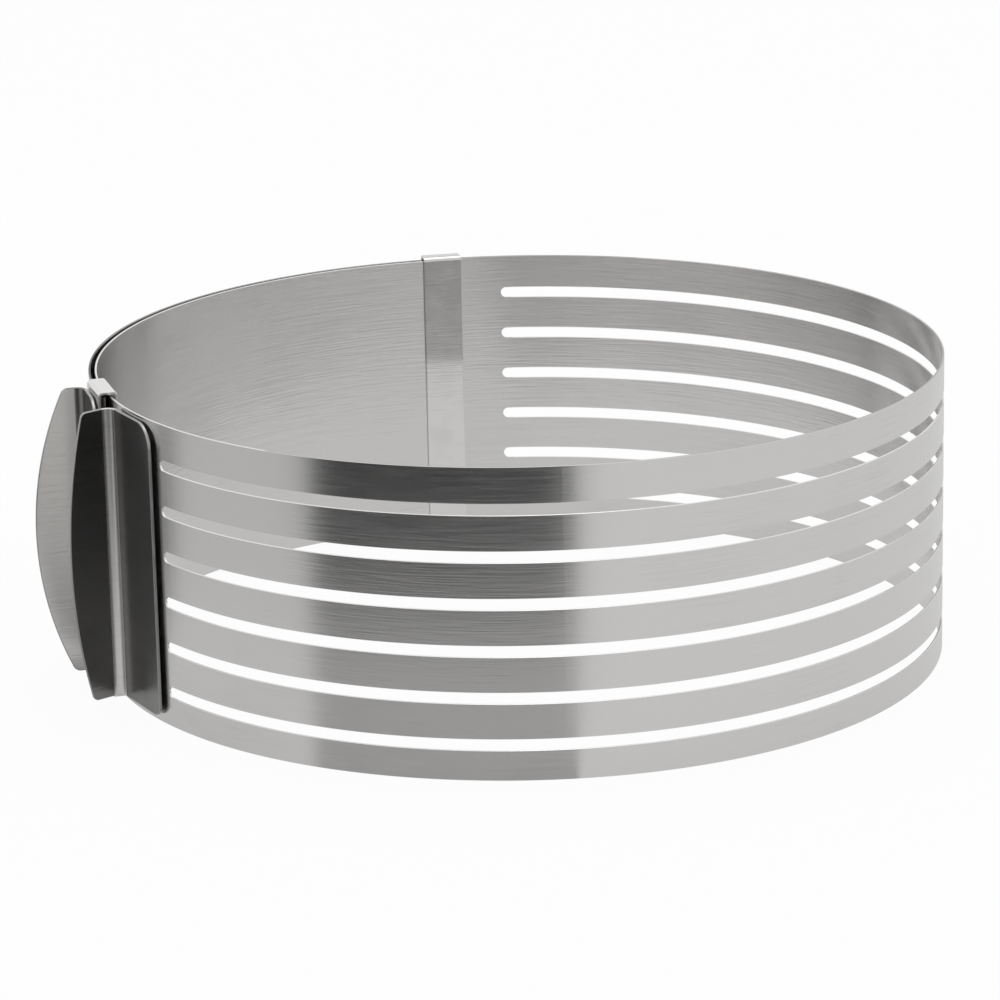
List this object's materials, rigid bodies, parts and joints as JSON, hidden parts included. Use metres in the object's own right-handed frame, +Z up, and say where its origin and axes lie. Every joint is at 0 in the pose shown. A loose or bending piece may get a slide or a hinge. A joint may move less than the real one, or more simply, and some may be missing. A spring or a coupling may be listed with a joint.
{
  "type": "cake slicing ring",
  "caption": "Adjustable slotted spring-steel ring that holds a cake and guides a knife through level layers; its overlapping ends slide in clips and are drawn by bent grips.",
  "frame": {"origin": "middle of the footprint, on the surface that the ring stands on", "axes": "+Z up along the ring's axis, +X away from the grips, -Y towards the front, where the slots run across"},
  "size_m": [0.259, 0.2442, 0.089],
  "materials": {
    "strip_steel": "brushed along the strip",
    "clip_steel": "brushed",
    "grip_steel": "brushed upright"
  },
  "bodies": {
    "slotted_1": {"blade_1_length_1": "strip_steel", "blade_2_length_1": "strip_steel", "blade_3_length_1": "strip_steel", "blade_4_length_1": "strip_steel", "blade_5_length_1": "strip_steel", "blade_6_length_1": "strip_steel", "blade_7_length_1": "strip_steel"},
    "slotted_2": {"blade_1_length_2": "strip_steel", "blade_2_length_2": "strip_steel", "blade_3_length_2": "strip_steel", "blade_4_length_2": "strip_steel", "blade_5_length_2": "strip_steel", "blade_6_length_2": "strip_steel", "blade_7_length_2": "strip_steel"},
    "slotted_3": {"blade_1_length_3": "strip_steel", "blade_2_length_3": "strip_steel", "blade_3_length_3": "strip_steel", "blade_4_length_3": "strip_steel", "blade_5_length_3": "strip_steel", "blade_6_length_3": "strip_steel", "blade_7_length_3": "strip_steel"},
    "slotted_4": {"blade_1_length_4": "strip_steel", "blade_2_length_4": "strip_steel", "blade_3_length_4": "strip_steel", "blade_4_length_4": "strip_steel", "blade_5_length_4": "strip_steel", "blade_6_length_4": "strip_steel", "blade_7_length_4": "strip_steel"},
    "slotted_5": {"blade_1_length_5": "strip_steel", "blade_2_length_5": "strip_steel", "blade_3_length_5": "strip_steel", "blade_4_length_5": "strip_steel", "blade_5_length_5": "strip_steel", "blade_6_length_5": "strip_steel", "blade_7_length_5": "strip_steel"},
    "slotted_6": {"blade_1_length_6": "strip_steel", "blade_2_length_6": "strip_steel", "blade_3_length_6": "strip_steel", "blade_4_length_6": "strip_steel", "blade_5_length_6": "strip_steel", "blade_6_length_6": "strip_steel", "blade_7_length_6": "strip_steel"},
    "outer_end_1": {"outer_end_length_1": "strip_steel"},
    "outer_end_2": {"outer_end_length_2": "strip_steel"},
    "outer_end_3": {"outer_end_length_3": "strip_steel"},
    "outer_end_4": {"outer_end_length_4": "strip_steel"},
    "outer_end_5": {"outer_end_length_5": "strip_steel"},
    "outer_end_6": {"outer_end_length_6": "strip_steel", "outer_end_clip": "clip_steel", "rear_grip": "grip_steel"},
    "inner_end_1": {"inner_end_length_1": "strip_steel", "front_grip": "grip_steel"},
    "inner_end_2": {"inner_end_length_2": "strip_steel"},
    "inner_end_3": {"inner_end_length_3": "strip_steel"},
    "inner_end_4": {"inner_end_length_4": "strip_steel"},
    "inner_end_5": {"inner_end_length_5": "strip_steel"},
    "inner_end_6": {"inner_end_length_6": "strip_steel", "inner_end_clip": "clip_steel"}
  },
  "joints": [
    {"name": "slotted_2_bend", "type": "hinge", "parent": "slotted_3", "child": "slotted_2", "pos_m": [0.12624, 0.02605, 0.0445], "axis": [0, 0, -1], "range_deg": [0, 7.4]},
    {"name": "slotted_1_bend", "type": "hinge", "parent": "slotted_2", "child": "slotted_1", "pos_m": [0.08267, 0.09498, 0.0445], "axis": [0, 0, -1], "range_deg": [0, 7.4]},
    {"name": "outer_end_1_bend", "type": "hinge", "parent": "slotted_1", "child": "outer_end_1", "pos_m": [0.00517, 0.12097, 0.0445], "axis": [0, 0, -1], "range_deg": [0, 5.41]},
    {"name": "outer_end_2_bend", "type": "hinge", "parent": "outer_end_1", "child": "outer_end_2", "pos_m": [-0.03257, 0.11413, 0.0445], "axis": [0, 0, -1], "range_deg": [0, 3.42]},
    {"name": "outer_end_3_bend", "type": "hinge", "parent": "outer_end_2", "child": "outer_end_3", "pos_m": [-0.06633, 0.09591, 0.0445], "axis": [0, 0, -1], "range_deg": [0, 3.42]},
    {"name": "outer_end_4_bend", "type": "hinge", "parent": "outer_end_3", "child": "outer_end_4", "pos_m": [-0.09277, 0.06812, 0.0445], "axis": [0, 0, -1], "range_deg": [0, 3.42]},
    {"name": "outer_end_5_bend", "type": "hinge", "parent": "outer_end_4", "child": "outer_end_5", "pos_m": [-0.10928, 0.0335, 0.0445], "axis": [0, 0, -1], "range_deg": [0, 3.42]},
    {"name": "outer_end_6_bend", "type": "hinge", "parent": "outer_end_5", "child": "outer_end_6", "pos_m": [-0.11424, -0.00454, 0.0445], "axis": [0, 0, -1], "range_deg": [0, 3.42]},
    {"name": "slotted_4_bend", "type": "hinge", "parent": "slotted_3", "child": "slotted_4", "pos_m": [0.11651, -0.0547, 0.0445], "axis": [0, 0, 1], "range_deg": [0, 7.4]},
    {"name": "slotted_5_bend", "type": "hinge", "parent": "slotted_4", "child": "slotted_5", "pos_m": [0.05812, -0.11104, 0.0445], "axis": [0, 0, 1], "range_deg": [0, 7.4]},
    {"name": "slotted_6_bend", "type": "hinge", "parent": "slotted_5", "child": "slotted_6", "pos_m": [-0.02254, -0.11782, 0.0445], "axis": [0, 0, 1], "range_deg": [0, 7.4]},
    {"name": "inner_end_1_bend", "type": "hinge", "parent": "slotted_6", "child": "inner_end_1", "pos_m": [-0.08919, -0.07225, 0.0445], "axis": [0, 0, 1], "range_deg": [0, 5.57]},
    {"name": "inner_end_2_bend", "type": "hinge", "parent": "inner_end_1", "child": "inner_end_2", "pos_m": [-0.10753, -0.03527, 0.0445], "axis": [0, 0, 1], "range_deg": [0, 3.73]},
    {"name": "inner_end_3_bend", "type": "hinge", "parent": "inner_end_2", "child": "inner_end_3", "pos_m": [-0.11229, 0.00573, 0.0445], "axis": [0, 0, 1], "range_deg": [0, 3.73]},
    {"name": "inner_end_4_bend", "type": "hinge", "parent": "inner_end_3", "child": "inner_end_4", "pos_m": [-0.10292, 0.04593, 0.0445], "axis": [0, 0, 1], "range_deg": [0, 3.73]},
    {"name": "inner_end_5_bend", "type": "hinge", "parent": "inner_end_4", "child": "inner_end_5", "pos_m": [-0.0805, 0.08059, 0.0445], "axis": [0, 0, 1], "range_deg": [0, 3.73]},
    {"name": "inner_end_6_bend", "type": "hinge", "parent": "inner_end_5", "child": "inner_end_6", "pos_m": [-0.04769, 0.10563, 0.0445], "axis": [0, 0, 1], "range_deg": [0, 3.73]}
  ],
  "couplings": [
    {"joint": "slotted_1_bend", "follows": "slotted_2_bend", "ratio": 1},
    {"joint": "outer_end_1_bend", "follows": "slotted_2_bend", "ratio": 0.73077},
    {"joint": "outer_end_2_bend", "follows": "slotted_2_bend", "ratio": 0.46154},
    {"joint": "outer_end_3_bend", "follows": "slotted_2_bend", "ratio": 0.46154},
    {"joint": "outer_end_4_bend", "follows": "slotted_2_bend", "ratio": 0.46154},
    {"joint": "outer_end_5_bend", "follows": "slotted_2_bend", "ratio": 0.46154},
    {"joint": "outer_end_6_bend", "follows": "slotted_2_bend", "ratio": 0.46154},
    {"joint": "slotted_4_bend", "follows": "slotted_2_bend", "ratio": 1},
    {"joint": "slotted_5_bend", "follows": "slotted_2_bend", "ratio": 1},
    {"joint": "slotted_6_bend", "follows": "slotted_2_bend", "ratio": 1},
    {"joint": "inner_end_1_bend", "follows": "slotted_2_bend", "ratio": 0.75225},
    {"joint": "inner_end_2_bend", "follows": "slotted_2_bend", "ratio": 0.50451},
    {"joint": "inner_end_3_bend", "follows": "slotted_2_bend", "ratio": 0.50451},
    {"joint": "inner_end_4_bend", "follows": "slotted_2_bend", "ratio": 0.50451},
    {"joint": "inner_end_5_bend", "follows": "slotted_2_bend", "ratio": 0.50451},
    {"joint": "inner_end_6_bend", "follows": "slotted_2_bend", "ratio": 0.50451}
  ]
}
